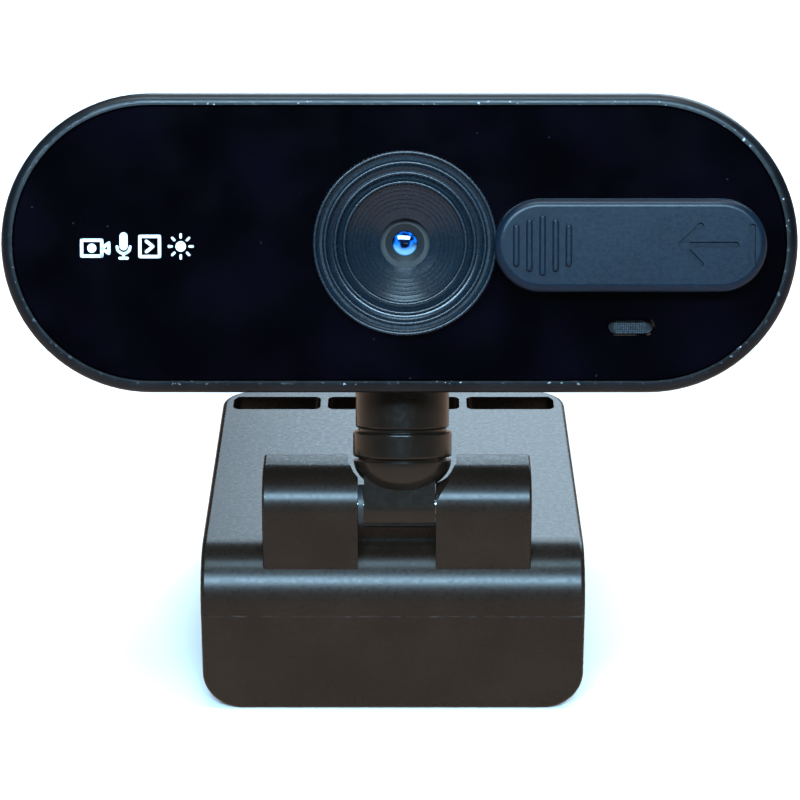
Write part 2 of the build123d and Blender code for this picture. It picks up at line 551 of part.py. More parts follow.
# ---------------------------------------------------------------- stand: leg
def rear_leg():
    """The folding leg: three hinge barrels, a back wall and the foot, with the tripod boss."""
    wall_t, back_y = 2.4, HINGE_Y + HINGE_R
    leg = box(-LEG_HALF_W, LEG_HALF_W, FOOT_FRONT_Y, back_y, FOOT_Z0, FOOT_Z0 + FOOT_T)
    leg += box(-LEG_HALF_W, LEG_HALF_W, back_y - wall_t, back_y, FOOT_Z0, HINGE_Z)
    heel = leg.edges().filter_by(Axis.X).group_by(Axis.Z)[0].sort_by(Axis.Y)[-1]
    leg = fillet(heel, 3.0)
    inner = [e for e in leg.edges().filter_by(Axis.X) if abs((e @ 0.5).Y - back_y + wall_t) < 0.01]
    leg = fillet([e for e in inner if (e @ 0.5).Z < HINGE_Z - 1], 1.2)
    toes = leg.edges().filter_by(Axis.Z).group_by(Axis.Y)[0]
    leg = fillet(toes, 5.0)
    leg += rod_x(HINGE_R, -LEG_HALF_W, LEG_HALF_W, HINGE_Y, HINGE_Z)
    notch = rod_x(4.0, EAR_X0 - 0.5, EAR_X1 + 0.2, HINGE_Y, HINGE_Z)
    leg -= both_sides(notch)
    leg += rod_z(INSERT_R + 1.6, FOOT_Z0, FOOT_Z0 + INSERT_H, 0, INSERT_Y)
    leg -= rod_z(INSERT_R, FOOT_Z0, FOOT_Z0 + INSERT_H, 0, INSERT_Y)
    for x, y in foot_places():
        leg -= rod_z(3.2, FOOT_Z0, FOOT_Z0 + 0.6, x, y)
    return leg - rod_x(PIN_R + RUN, -LEG_HALF_W, LEG_HALF_W, HINGE_Y, HINGE_Z)


def foot_places():
    return [(x, y) for x in (-12.5, 12.5) for y in (10.8, 37.0)]


def foot_pads():
    pads = []
    for x, y in foot_places():
        pad = rod_z(3.2, 0, FOOT_Z0 + 0.6, x, y)
        pads.append(fillet(pad.faces().sort_by(Axis.Z)[0].edges(), 0.3))
    return pads


def leg_pad():
    low = FOOT_Z0 + FOOT_T
    pad = box(-14, 14, 8.0, 15.5, low, low + 1.0)
    return fillet(pad.edges().filter_by(Axis.Z), 2.0)


def tripod_insert():
    """A knurled brass insert with the quarter-inch camera thread."""
    insert = rod_z(INSERT_R, FOOT_Z0, FOOT_Z0 + INSERT_H, 0, INSERT_Y)
    insert -= turned_z([(INSERT_R - 0.3, 2.2), (INSERT_R, 2.2), (INSERT_R, 2.9), (INSERT_R - 0.3, 2.9)]).moved(
        Location((0, INSERT_Y, FOOT_Z0))
    )
    insert -= rod_z(THREAD_R, FOOT_Z0, FOOT_Z0 + INSERT_H, 0, INSERT_Y)
    return insert


def leg_pin():
    return rod_x(PIN_R, 1.0 - LEG_HALF_W, LEG_HALF_W - 1.0, HINGE_Y, HINGE_Z)


def leg_washers():
    ring = rod_x(2.2, EAR_X0 - 0.45, EAR_X0 - 0.05, HINGE_Y, HINGE_Z)
    ring -= rod_x(PIN_R + RUN, 0, EAR_X0, HINGE_Y, HINGE_Z)
    return [ring, mirror(ring, about=Plane.YZ)]


# ---------------------------------------------------------------- assembly
HEAD_PARTS = {
    "front_shell": front_shell,
    "rear_shell": rear_shell,
    "front_panel": front_panel,
    "cable_gland": cable_gland,
    "case_screws": case_screws,
    "focus_ring": focus_ring,
    "focus_retainer": focus_retainer,
    "lens_barrel": lens_barrel,
    "front_lens": lambda: lens(1.95, -5.0, 0.5, 0.55, True),
    "rear_lens": lambda: lens(1.95, -3.4, 0.4, 0.7, False),
    "lens_holder": lens_holder,
    "ir_filter": ir_filter,
    "image_sensor": image_sensor,
    "main_board": main_board,
    "controller_chip": controller_chip,
    "flash_chip": lambda: on_board(-3.5, -7, 5.0, 4.0, 1.0),
    "clock_crystal": lambda: on_board(-22, 0, 2.5, 3.2, 0.8),
    "board_capacitors": board_capacitors,
    "cable_connector": cable_connector,
    "connector_pins": connector_pins,
    "mic_capsule": lambda: rod_y(2.0, WEB_BACK_Y + 0.8, WEB_BACK_Y + 2.4, MIC_X, MIC_Z),
    "mic_boot": mic_boot,
    "mic_mesh": lambda: rod_y(1.6, SEAT_Y, SEAT_Y + 0.25, MIC_X, MIC_Z),
    "board_screws": board_screws,
    "holder_screws": holder_screws,
    "privacy_cover": privacy_cover,
    "cover_retainer": cover_retainer,
    "cover_screw": cover_screw,
    "swivel_socket": swivel_socket,
    "swivel_collar": swivel_collar,
    "tilt_arm": tilt_arm,
    "swivel_spring": swivel_spring,
    "swivel_washer": swivel_washer,
    "swivel_screw": swivel_screw,
}
STAND_PARTS = {
    "clip_bracket": clip_bracket,
    "tilt_pin": tilt_pin,
    "tilt_washer": tilt_washer,
}
CLIP_PARTS = {
    "lip_pad": lip_pad,
    "plate_pad": plate_pad,
    "rear_leg": rear_leg,
    "foot_pads": foot_pads,
    "leg_pad": leg_pad,
    "tripod_insert": tripod_insert,
    "leg_pin": leg_pin,
    "leg_washers": leg_washers,
}


def solids_of(made, place):
    """A part's solids, from a shape or from a list of shapes, moved to their place."""
    pieces = made if isinstance(made, list) else [made]
    return [place * solid for piece in pieces for solid in piece.solids()]


def head_place():
    return Pos(0, PIVOT_Y, PIVOT_Z) * Rot(-LEAN_DEG, 0, 0)


def main():
    made = {name: solids_of(build(), head_place()) for name, build in HEAD_PARTS.items()}
    made.update({name: solids_of(build(), Pos(0, 0, 0)) for name, build in STAND_PARTS.items()})
    made.update({name: solids_of(build(), Pos(CLIP_X, 0, 0)) for name, build in CLIP_PARTS.items()})
    boxes = [solid.bounding_box() for solids in made.values() for solid in solids]
    middle_y = (min(b.min.Y for b in boxes) + max(b.max.Y for b in boxes)) / 2
    os.makedirs("parts", exist_ok=True)
    for name, solids in made.items():
        export_step(Compound([Pos(0, -middle_y, 0) * solid for solid in solids]), f"parts/{name}.step")
    print(f"{len(made)} nodes, lip front at y = {-middle_y:.4f}")


main()
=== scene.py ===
"""Webcam on a folding clip stand: looks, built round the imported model.

The scene is in metres. Shapes and material patterns are drawn in the millimetres of the head or the
stand, and the matrices HEAD and STAND place them.
"""

import json
import math

import bmesh
import bpy
from mathutils import Matrix, Vector


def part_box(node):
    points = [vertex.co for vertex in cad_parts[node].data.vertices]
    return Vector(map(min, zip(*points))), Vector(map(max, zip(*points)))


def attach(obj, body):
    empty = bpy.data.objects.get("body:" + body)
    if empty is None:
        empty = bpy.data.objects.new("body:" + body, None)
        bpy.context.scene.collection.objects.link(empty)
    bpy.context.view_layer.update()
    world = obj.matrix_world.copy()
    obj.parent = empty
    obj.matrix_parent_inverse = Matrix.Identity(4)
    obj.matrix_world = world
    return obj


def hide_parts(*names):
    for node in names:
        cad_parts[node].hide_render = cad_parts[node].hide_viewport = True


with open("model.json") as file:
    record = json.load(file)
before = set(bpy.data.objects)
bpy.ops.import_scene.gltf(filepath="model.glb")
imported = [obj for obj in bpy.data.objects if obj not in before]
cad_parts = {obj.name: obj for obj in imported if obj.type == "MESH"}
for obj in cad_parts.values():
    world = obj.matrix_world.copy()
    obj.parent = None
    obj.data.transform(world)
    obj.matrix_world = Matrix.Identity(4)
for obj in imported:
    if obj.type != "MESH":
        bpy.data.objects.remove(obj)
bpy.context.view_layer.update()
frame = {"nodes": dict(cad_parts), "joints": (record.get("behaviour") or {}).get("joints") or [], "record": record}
NODES = frame["nodes"]
JOINTS = {joint["name"]: joint for joint in frame["joints"]}

# ---------------------------------------------------------------- places, taken from the frame
MM = 0.001
STEM = Vector(JOINTS["pan"]["axis"]).normalized()
PIVOT = Vector(JOINTS["tilt"]["pos_m"])
LEAN = math.atan2(STEM.y, STEM.z)
LIP_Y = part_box("clip_bracket")[0].y
HEAD = Matrix.Translation(PIVOT) @ Matrix.Rotation(-LEAN, 4, "X") @ Matrix.Scale(MM, 4)
STAND = Matrix.Translation((0, LIP_Y, 0)) @ Matrix.Scale(MM, 4)

# ---------------------------------------------------------------- sizes in mm, as in the CAD source
# The head's axes: +Z up its stem from the tilt pivot, -Y forward.
CENTRE_Z = 27.35
PANEL_Y = -10.1
LENS_X = 0.55
NECK_X = 0.3
END_CENTRE_X = 25.0            # the head's round ends turn about this
RIM_EDGE_R = 13.95             # its rim's inner edge, about those centres
RIM_FRONT_Y = -10.3

RING_R = 9.25
RING_BACK_Y = -6.9
RING_SLEEVE_R = 7.2
RING_BORE_R = 2.5
RING_TEETH = 116
TOOTH_DEPTH = 0.2

SEAM_R = 5.15                  # the collar's face, about its axis
SEAM_BOTTOM_Z = 5.5
SEAM_LENGTH = 2.0

MARKS_LEFT_X = -32.0
MARKS_BOTTOM_Z = CENTRE_Z - 1.6
MARKS_SCALE = 1.09
INK_DEPTH = 0.02               # printed into the panel
INK_PROUD = 0.03
MOULD_LINE_AND_HIGHLIGHT_Z = 11.2            # on the stand, above the table
WIRE_PITCH = 0.22              # microphone cloth

# ---------------------------------------------------------------- camera and lights
CAMERA_Y = -278.0              # head's mm
FOCAL_LENGTH = 120.15          # mm, on a 36 mm sensor
LOOK_DOWN = math.radians(3.358787)
LOOK_ASIDE = math.radians(0.01073)
FLOOR_HALF = 4.0
LIGHT_AIM = Vector((0, 0, 0.03))
LIGHTS = {
    "key_top": dict(place=(0, 0.1, 1.3), size=(1.4, 1.0), watts=9.0, tint=(1.0, 0.8, 0.64)),
    "sky_top": dict(place=(0, -0.2, 1.0), size=(0.45, 0.3), watts=7.0, tint=(0.45, 0.77, 1.0)),
    "backdrop": dict(place=(0.42, 1.2, 0.95), size=(1.3, 1.05), watts=33.0, tint=(0.62, 0.83, 1.0)),
    "front_soft": dict(place=(-0.05, -0.7, 0.6), size=(0.6, 0.16), watts=18.0, tint=(0.45, 0.75, 1.0)),
}
ROOM_BELOW = (0.8, 0.58, 0.45, 1.0)
ROOM_ABOVE = (0.025, 0.028, 0.03, 1.0)


# ---------------------------------------------------------------- mesh helpers
def add_mesh(name, vertices, faces, place, body, slot, smooth):
    """A mesh from points in mm, put in the scene and riding on a body."""
    mesh = bpy.data.meshes.new(name)
    mesh.from_pydata([place @ Vector(v) for v in vertices], [], faces)
    mesh.validate()
    work = bmesh.new()
    work.from_mesh(mesh)
    bmesh.ops.remove_doubles(work, verts=work.verts, dist=1e-8)
    bmesh.ops.recalc_face_normals(work, faces=work.faces)
    work.to_mesh(mesh)
    work.free()
    return add_object(name, mesh, body, slot, smooth)


def add_object(name, mesh, body, slot, smooth):
    """A piece that rides on a body, finished like a slot; edges over smooth degrees stay sharp."""
    thing = bpy.data.objects.new(name, mesh)
    bpy.context.collection.objects.link(thing)
    mesh.materials.clear()
    mesh.materials.append(MATERIALS[slot])
    mesh.shade_smooth()
    mesh.set_sharp_from_angle(angle=math.radians(smooth))
    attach(thing, body)
    return thing


def rounded(corners, steps):
    """A polyline whose corners, given as (a, b, radius), are rounded off."""
    points = []
    for i, (a, b, radius) in enumerate(corners):
        here = Vector((a, b))
        if radius == 0 or i in (0, len(corners) - 1):
            points.append((a, b))
            continue
        before = (Vector(corners[i - 1][:2]) - here).normalized()
        after = (Vector(corners[i + 1][:2]) - here).normalized()
        half = before.angle(after) / 2
        reach = radius / math.tan(half)
        centre = here + (before + after).normalized() * (radius / math.sin(half))
        start = here + before * reach - centre
        end = here + after * reach - centre
        turn = start.angle_signed(end)
        for k in range(steps + 1):
            spin = Matrix.Rotation(-turn * k / steps, 2)
            points.append(tuple(centre + spin @ start))
    return points


def lathe(profile, steps, centre, ripple):
    """A closed loop of (radius, y) turned round the Y direction; ripple(angle, radius, y) adds to it."""
    vertices, faces = [], []
    count = len(profile)
    for i in range(steps):
        angle = 2 * math.pi * i / steps
        for radius, y in profile:
            grown = radius + ripple(angle, radius, y)
            x = centre[0] + grown * math.cos(angle)
            z = centre[1] + grown * math.sin(angle)
            vertices.append((x, y, z))
    for i in range(steps):
        j = (i + 1) % steps
        for k in range(count):
            m = (k + 1) % count
            faces.append((i * count + k, i * count + m, j * count + m, j * count + k))
    return vertices, faces


# ---------------------------------------------------------------- material helpers
class Shader:
    """A small builder for node materials, with its coordinates in millimetres."""

    def __init__(self, name, place=None):
        self.material = bpy.data.materials.new(name)
        self.material.use_nodes = True
        self.tree = self.material.node_tree
        self.shader = self.tree.nodes["Principled BSDF"]
        inverse = (place or Matrix.Scale(MM, 4)).inverted()
        coords = self.node("ShaderNodeTexCoord")
        mapping = self.node("ShaderNodeMapping")
        mapping.inputs["Location"].default_value = inverse.to_translation()
        mapping.inputs["Rotation"].default_value = inverse.to_euler()
        mapping.inputs["Scale"].default_value = (1 / MM,) * 3
        self.link(coords.outputs["Object"], mapping.inputs["Vector"])
        self.coords = mapping.outputs["Vector"]

    def node(self, kind, **settings):
        made = self.tree.nodes.new(kind)
        for key, value in settings.items():
            setattr(made, key, value)
        return made

    def link(self, source, target):
        self.tree.links.new(source, target)

    def set(self, **values):
        for key, value in values.items():
            self.shader.inputs[key.replace("_", " ")].default_value = value
        return self

    def noise(self, size, detail=2.0, stretch=(1, 1, 1)):
        """Noise whose features are about size mm across."""
        made = self.node("ShaderNodeTexNoise")
        made.inputs["Scale"].default_value = 1 / size
        made.inputs["Detail"].default_value = detail
        self.link(self.stretched(stretch), made.inputs["Vector"])
        return made.outputs["Fac"]

    def stretched(self, stretch):
        if stretch == (1, 1, 1):
            return self.coords
        mapping = self.node("ShaderNodeMapping")
        mapping.inputs["Scale"].default_value = stretch
        self.link(self.coords, mapping.inputs["Vector"])
        return mapping.outputs["Vector"]

    def cells(self, size):
        """Distance to the middle of the nearest cell, in cells of about size mm."""
        made = self.node("ShaderNodeTexVoronoi")
        made.inputs["Scale"].default_value = 1 / size
        self.link(self.coords, made.inputs["Vector"])
        return made.outputs["Distance"]

    def ramp(self, source, low, high, out_low=0.0, out_high=1.0):
        made = self.node("ShaderNodeMapRange", interpolation_type="SMOOTHSTEP")
        self.link(source, made.inputs["Value"])
        sockets = {"From Min": low, "From Max": high, "To Min": out_low, "To Max": out_high}
        for key, value in sockets.items():
            made.inputs[key].default_value = value
        return made.outputs["Result"]

    def math(self, operation, a, b=0.0):
        made = self.node("ShaderNodeMath", operation=operation)
        for socket, value in zip(made.inputs, (a, b)):
            if isinstance(value, (int, float)):
                socket.default_value = value
            else:
                self.link(value, socket)
        return made.outputs[0]

    def add(self, a, b):
        return self.math("ADD", a, b)

    def times(self, a, b):
        return self.math("MULTIPLY", a, b)

    def away(self, a, b):
        """How far apart two values are."""
        return self.math("ABSOLUTE", self.math("SUBTRACT", a, b))

    def radius(self, a, b):
        return self.math("SQRT", self.add(self.times(a, a), self.times(b, b)))

    def axis(self, letter):
        made = self.node("ShaderNodeSeparateXYZ")
        self.link(self.coords, made.inputs[0])
        return made.outputs[letter]

    def mix(self, factor, first, second):
        """A colour between two, by a factor; each may be a colour or another mix's output."""
        made = self.node("ShaderNodeMix", data_type="RGBA")
        self.link(factor, made.inputs["Factor"])
        for socket, value in ((made.inputs[6], first), (made.inputs[7], second)):
            if isinstance(value, tuple):
                socket.default_value = (*value, 1.0)
            else:
                self.link(value, socket)
        return made.outputs[2]

    def colour(self, source):
        self.link(source, self.shader.inputs["Base Color"])

    def roughness(self, source, low, high):
        self.link(self.ramp(source, 0.3, 0.7, low, high), self.shader.inputs["Roughness"])

    def bump(self, *layers):
        """Stacked bumps, each a (height source, depth in mm)."""
        normal = None
        for source, depth in layers:
            made = self.node("ShaderNodeBump")
            made.inputs["Strength"].default_value = 1.0
            made.inputs["Distance"].default_value = depth * MM
            self.link(source, made.inputs["Height"])
            if normal:
                self.link(normal, made.inputs["Normal"])
            normal = made.outputs["Normal"]
        self.link(normal, self.shader.inputs["Normal"])


# ---------------------------------------------------------------- materials of the seen pieces
def shell_material():
    """The head's housing: satin grain, with silvery nicks where the rim meets the panel."""
    made = Shader("shell_plastic", HEAD)
    clouds, fine = made.noise(6.0, 4.0), made.noise(0.2, 3.0)
    base = made.mix(made.ramp(clouds, 0.3, 0.7), (0.003, 0.0036, 0.0046), (0.006, 0.007, 0.0088))
    made.colour(made.mix(rim_nicks(made), base, (0.34, 0.36, 0.4)))
    made.roughness(made.noise(1.5, 5.0), 0.28, 0.36)
    made.bump((fine, 0.002), (made.noise(1.7), 0.004))
    return made.set(IOR=1.5, Specular_IOR_Level=0.24).material


def rim_nicks(made):
    """Small scattered chips in a narrow band along the inner edge of the rim, at the front only."""
    x, y, z = (made.axis(letter) for letter in "XYZ")
    beyond = made.math("MAXIMUM", made.math("SUBTRACT", made.math("ABSOLUTE", x), END_CENTRE_X), 0.0)
    height = made.math("SUBTRACT", z, CENTRE_Z)
    off = made.away(made.radius(beyond, height), RIM_EDGE_R)
    band = made.ramp(off, 0.12, 0.3, 1.0, 0.0)
    front = made.ramp(y, RIM_FRONT_Y, RIM_FRONT_Y + 0.3, 1.0, 0.0)
    specks = made.ramp(made.noise(0.45, 4.0), 0.6, 0.66)
    patches = made.ramp(made.noise(5.0, 2.0), 0.5, 0.62)
    spread = made.times(specks, made.add(made.times(patches, 0.9), 0.1))
    return made.times(made.times(band, front), spread)


def panel_material():
    """Polished black face with a hard clear layer, faint haze and a few dust specks."""
    made = Shader("panel_plastic", HEAD)
    dust = made.ramp(made.cells(2.6), 0.03, 0.05, 1.0, 0.0)
    haze = made.noise(9.0, 4.0)
    base = made.mix(made.ramp(haze, 0.35, 0.75), (0.0003, 0.0003, 0.0008), (0.0014, 0.001, 0.003))
    made.colour(made.mix(made.times(dust, 0.05), base, (0.2, 0.22, 0.25)))
    made.roughness(made.noise(4.0, 5.0), 0.05, 0.09)
    made.bump((made.noise(14.0, 1.0), 0.01))
    return made.set(IOR=1.48, Specular_IOR_Level=0.4).material


def clip_material():
    """The bracket and leg: warm black, satin, with a faint raised mould line where the lip meets the bend, its
    colour lightened as a painted highlight.
    """
    made = Shader("clip_plastic", STAND)
    fine, clouds = made.noise(0.2, 3.0), made.noise(7.0, 3.0)
    drift = made.add(made.times(clouds, 0.6), made.times(fine, 0.4))
    base = made.mix(made.ramp(drift, 0.35, 0.65), (0.0125, 0.007, 0.0045), (0.0175, 0.01, 0.0065))
    y, z = made.axis("Y"), made.axis("Z")
    wobble = made.times(made.noise(3.0, 3.0), 0.2)
    off = made.away(made.add(z, wobble), MOULD_LINE_AND_HIGHLIGHT_Z)
    on_lip = made.ramp(y, 0.1, 0.3, 1.0, 0.0)
    line = made.times(made.ramp(off, 0.03, 0.12, 1.0, 0.0), on_lip)
    # painted highlight: the raised line is also lightened in colour, in broken dashes, standing in for light
    # caught on its edge
    painted_line_highlight = made.times(line, made.ramp(made.noise(1.6, 3.0), 0.4, 0.68))
    specks = made.ramp(made.cells(3.4), 0.02, 0.035, 1.0, 0.0)
    # the painted highlight of the line, together with small pale specks
    marks = made.math("MAXIMUM", made.times(painted_line_highlight, 0.14), made.times(specks, 0.12))
    made.colour(made.mix(marks, base, (0.2, 0.19, 0.19)))
    made.roughness(made.noise(0.5, 4.0), 0.26, 0.32)
    made.bump((fine, 0.001), (line, 0.006), (made.noise(1.4, 2.0), 0.002))
    return made.set(IOR=1.5, Specular_IOR_Level=0.25).material


def lens_material():
    """The coated front lens: a ring of blue coating colour, turned whitish towards its lower edge by painted
    light, round a dark centre of painted shade.
    """
    made = Shader("lens_glass", HEAD)
    x, z = made.axis("X"), made.axis("Z")
    across = made.math("SUBTRACT", x, LENS_X)
    up = made.math("SUBTRACT", z, CENTRE_Z)
    radius = made.radius(across, up)
    facets = made.ramp(made.noise(0.55, 2.0), 0.4, 0.62)
    blue = made.mix(facets, (0.002, 0.01, 0.045), (0.012, 0.2, 0.72))
    # painted light: the lower part of the ring is lightened towards a whitish blue, standing in for light seen
    # through the glass
    low = made.times(made.ramp(up, -0.75, 0.1, 1.0, 0.0), made.ramp(radius, 0.3, 1.0))
    blue_and_painted_light = made.mix(made.times(low, 0.8), blue, (0.4, 0.6, 0.75))
    # painted shade: the dark centre stands in for the dark inside of the camera seen through the glass
    painted_pupil_shade = made.times(made.ramp(radius, 0.42, 0.6, 1.0, 0.0), 0.93)
    dark = made.mix(painted_pupil_shade, blue_and_painted_light, (0.001, 0.002, 0.006))
    edge = made.ramp(radius, 1.1, 1.32)
    made.colour(made.mix(edge, dark, (0.004, 0.006, 0.01)))
    made.roughness(made.noise(0.5, 2.0), 0.02, 0.05)
    made.set(IOR=1.7, Coat_Weight=1.0, Coat_Roughness=0.02, Coat_Tint=(0.6, 0.85, 1.0, 1.0))
    return made.material


def mesh_material():
    """Fine woven steel cloth behind the microphone slot, near-black between its wires as painted shade for the
    hollow behind it.
    """
    made = Shader("mesh_fabric", HEAD)
    half_turns = math.pi / WIRE_PITCH
    warp, weft = (
        made.math("ABSOLUTE", made.math("SINE", made.times(made.axis(letter), half_turns)))
        for letter in "XZ"
    )
    wires = made.math("MAXIMUM", made.ramp(warp, 0.75, 0.95), made.ramp(weft, 0.75, 0.95))
    # painted shade: the near-black between the wires stands in for the dark hollow seen through the cloth
    made.colour(made.mix(wires, (0.0015, 0.002, 0.0025), (0.045, 0.055, 0.065)))
    made.roughness(made.noise(0.2, 3.0), 0.25, 0.4)
    made.bump((wires, 0.03))
    return made.set(Metallic=0.5).material


def ink_material():
    """White pad-printed ink, a little uneven at this scale."""
    made = Shader("print_ink", HEAD)
    cover = made.ramp(made.noise(0.25, 4.0), 0.3, 0.75)
    made.colour(made.mix(cover, (0.86, 0.88, 0.9), (0.62, 0.66, 0.7)))
    made.roughness(made.noise(0.4, 3.0), 0.45, 0.6)
    made.bump((made.noise(0.1, 3.0), 0.004))
    return made.material


# ---------------------------------------------------------------- materials of the inner pieces
def rubber_material():
    made = Shader("soft_rubber")
    fine = made.noise(0.12, 4.0)
    drift = made.ramp(made.noise(2.0, 5.0), 0.35, 0.7)
    made.colour(made.mix(drift, (0.018, 0.018, 0.019), (0.036, 0.036, 0.038)))
    made.roughness(made.noise(1.0, 4.0), 0.68, 0.85)
    made.bump((fine, 0.01), (made.cells(0.35), 0.006))
    return made.set(IOR=1.45).material


def filter_material():
    """The infra-red filter: clear tinted glass under a hard coloured coating."""
    made = Shader("filter_glass")
    drift = made.ramp(made.noise(0.8, 2.0), 0.3, 0.7)
    made.colour(made.mix(drift, (0.5, 0.15, 0.25), (0.425, 0.1275, 0.2125)))
    made.roughness(made.noise(0.5, 2.0), 0.0, 0.03)
    made.set(IOR=1.6, Transmission_Weight=0.9)
    made.set(Coat_Weight=1.0, Coat_Roughness=0.01, Coat_Tint=(1.0, 0.4, 0.5, 1.0))
    return made.material


def laminate_material():
    """Circuit board: green mask over faint copper traces."""
    made = Shader("board_laminate")
    traces = made.node("ShaderNodeTexBrick")
    traces.inputs["Scale"].default_value = 0.9
    traces.inputs["Mortar Size"].default_value = 0.08
    made.link(made.coords, traces.inputs["Vector"])
    tracks = traces.outputs["Fac"]
    made.colour(made.mix(made.times(tracks, 0.6), (0.01, 0.09, 0.035), (0.03, 0.2, 0.09)))
    made.roughness(made.noise(1.0, 4.0), 0.28, 0.4)
    made.bump((tracks, 0.02), (made.noise(0.2), 0.004))
    return made.material


# ---------------------------------------------------------------- plain plastics and metals
def plastic(name, dark, light, rough, grain=0.22, depth=0.004, place=None, coat=0.0, gloss=0.35):
    """Moulded plastic: fine spark-eroded grain, a faint drift in colour and slightly uneven gloss.

    Its grain is grain mm across and depth mm deep.
    """
    made = Shader(name, place)
    clouds, fine = made.noise(9.0, 3.0), made.noise(grain, 3.0)
    drift = made.add(made.times(clouds, 0.5), made.times(fine, 0.5))
    made.colour(made.mix(made.ramp(drift, 0.35, 0.65), dark, light))
    made.roughness(made.noise(grain * 3, 4.0), *rough)
    made.bump((fine, depth), (made.noise(grain * 6, 2.0), depth))
    return made.set(IOR=1.5, Coat_Weight=coat, Specular_IOR_Level=gloss).material


def metal(name, dark, light, rough, stretch=(1, 1, 1)):
    """Metal with fine streaks in its colour and in its surface."""
    made = Shader(name)
    streaks = made.noise(0.12, 3.0, stretch)
    made.colour(made.mix(made.ramp(streaks, 0.3, 0.7), dark, light))
    made.roughness(made.noise(0.8, 3.0), *rough)
    made.bump((streaks, 0.002))
    return made.set(Metallic=1.0).material


PLASTICS = {
    "ring_plastic": dict(
        dark=(0.0042, 0.0085, 0.0135), light=(0.0065, 0.013, 0.0205), rough=(0.22, 0.28),
        grain=0.1, depth=0.0015, place=HEAD, gloss=0.42,
    ),
    "barrel_plastic": dict(
        dark=(0.012, 0.013, 0.014), light=(0.02, 0.021, 0.023), rough=(0.4, 0.55),
        grain=0.1, depth=0.003,
    ),
    "holder_plastic": dict(
        dark=(0.02, 0.02, 0.021), light=(0.035, 0.035, 0.037), rough=(0.45, 0.6),
    ),
    "cover_plastic": dict(
        dark=(0.003, 0.0075, 0.0145), light=(0.005, 0.0115, 0.021), rough=(0.28, 0.34),
        grain=0.14, place=HEAD, gloss=0.2,
    ),
    "neck_plastic": dict(
        dark=(0.009, 0.0055, 0.0035), light=(0.013, 0.0085, 0.006), rough=(0.2, 0.26),
        grain=0.2, depth=0.002, place=HEAD,
    ),
    "sensor_silicon": dict(
        dark=(0.03, 0.05, 0.09), light=(0.08, 0.06, 0.12), rough=(0.08, 0.15),
        grain=0.05, depth=0.001, coat=0.8,
    ),
    "chip_epoxy": dict(
        dark=(0.018, 0.018, 0.02), light=(0.03, 0.03, 0.032), rough=(0.45, 0.6), grain=0.1,
    ),
    "capacitor_ceramic": dict(
        dark=(0.35, 0.26, 0.17), light=(0.5, 0.4, 0.28), rough=(0.4, 0.5), grain=0.1, depth=0.003,
    ),
    "connector_plastic": dict(
        dark=(0.6, 0.57, 0.47), light=(0.75, 0.72, 0.62), rough=(0.35, 0.45), grain=0.2, depth=0.003,
    ),
    "washer_nylon": dict(
        dark=(0.02, 0.02, 0.021), light=(0.032, 0.032, 0.034), rough=(0.4, 0.5), grain=0.2, depth=0.003,
    ),
}
METALS = {
    "zinc_steel": dict(dark=(0.42, 0.44, 0.47), light=(0.62, 0.63, 0.65), rough=(0.25, 0.4)),
    "spring_steel": dict(dark=(0.35, 0.36, 0.38), light=(0.5, 0.51, 0.53), rough=(0.2, 0.32)),
    "pin_steel": dict(
        dark=(0.42, 0.42, 0.43), light=(0.58, 0.58, 0.59), rough=(0.15, 0.28), stretch=(1, 12, 12),
    ),
    "insert_brass": dict(dark=(0.55, 0.38, 0.15), light=(0.78, 0.58, 0.27), rough=(0.22, 0.38)),
    "pin_brass": dict(dark=(0.7, 0.55, 0.25), light=(0.85, 0.7, 0.38), rough=(0.18, 0.3)),
    "capsule_aluminium": dict(dark=(0.6, 0.6, 0.62), light=(0.78, 0.78, 0.8), rough=(0.2, 0.35)),
}
MATERIALS = {
    "shell_plastic": shell_material(),
    "panel_plastic": panel_material(),
    "clip_plastic": clip_material(),
    "print_ink": ink_material(),
    "soft_rubber": rubber_material(),
    "lens_glass": lens_material(),
    "filter_glass": filter_material(),
    "board_laminate": laminate_material(),
    "mesh_fabric": mesh_material(),
    **{name: plastic(name, **values) for name, values in PLASTICS.items()},
    **{name: metal(name, **values) for name, values in METALS.items()},
}


def paint_nodes():
    slots = {row["node"]: row["material_slot"] for row in frame["record"]["subparts"]}
    for name, thing in NODES.items():
        thing.data.materials.clear()
        thing.data.materials.append(MATERIALS[slots[name]])


# ---------------------------------------------------------------- focus ring
def funnel_profile():
    """From the bore outwards to the ridges: a rounded throat and six sloping steps."""
    throat = (3.55, -8.15)
    profile = [(RING_BORE_R, -7.5)]
    profile += rounded([(RING_BORE_R, -7.5, 0), (RING_BORE_R, -7.75, 0.12), (*throat, 0)], 6)[1:]
    steps = [throat, (3.98, -8.43), (4.4, -8.71), (4.82, -8.99), (5.24, -9.27), (5.62, -9.53), (6.0, -9.8)]
    for (inner, low), (outer, _) in zip(steps, steps[1:]):
        profile += rounded([(inner, low, 0), (inner + 0.05, low - 0.13, 0.05), (outer, low - 0.28, 0)], 4)[1:]
    return profile


def ridge_profile():
    """Four round-topped ridges, each standing forward of the one before."""
    feet = [(6.0, -10.1), (6.9, -10.55), (7.92, -10.88), (8.93, -11.14)]
    height, top_r = 0.34, 0.13
    profile = []
    for i, (radius, y) in enumerate(feet):
        crest = y - height
        inner = [(radius - 0.14, y + 0.06, 0), (radius - 0.02, crest, top_r)]
        outer = [(radius + 0.2, crest, top_r), (radius + 0.36, y, 0)]
        profile += rounded(inner + outer, 6)
        if i < len(feet) - 1:
            following_r, following_y = feet[i + 1]
            valley_r = (radius + following_r) / 2 + 0.12
            profile.append((valley_r, (crest + 0.38 + following_y) / 2 + 0.1))
    return profile


def knurl(angle, radius, y):
    """Grooves in the ring's outer face, in front of the panel."""
    if radius < RING_R - 0.05 or y > PANEL_Y - 0.25:
        return 0
    phase = (angle * RING_TEETH / (2 * math.pi)) % 1
    return -TOOTH_DEPTH * abs(2 * phase - 1)


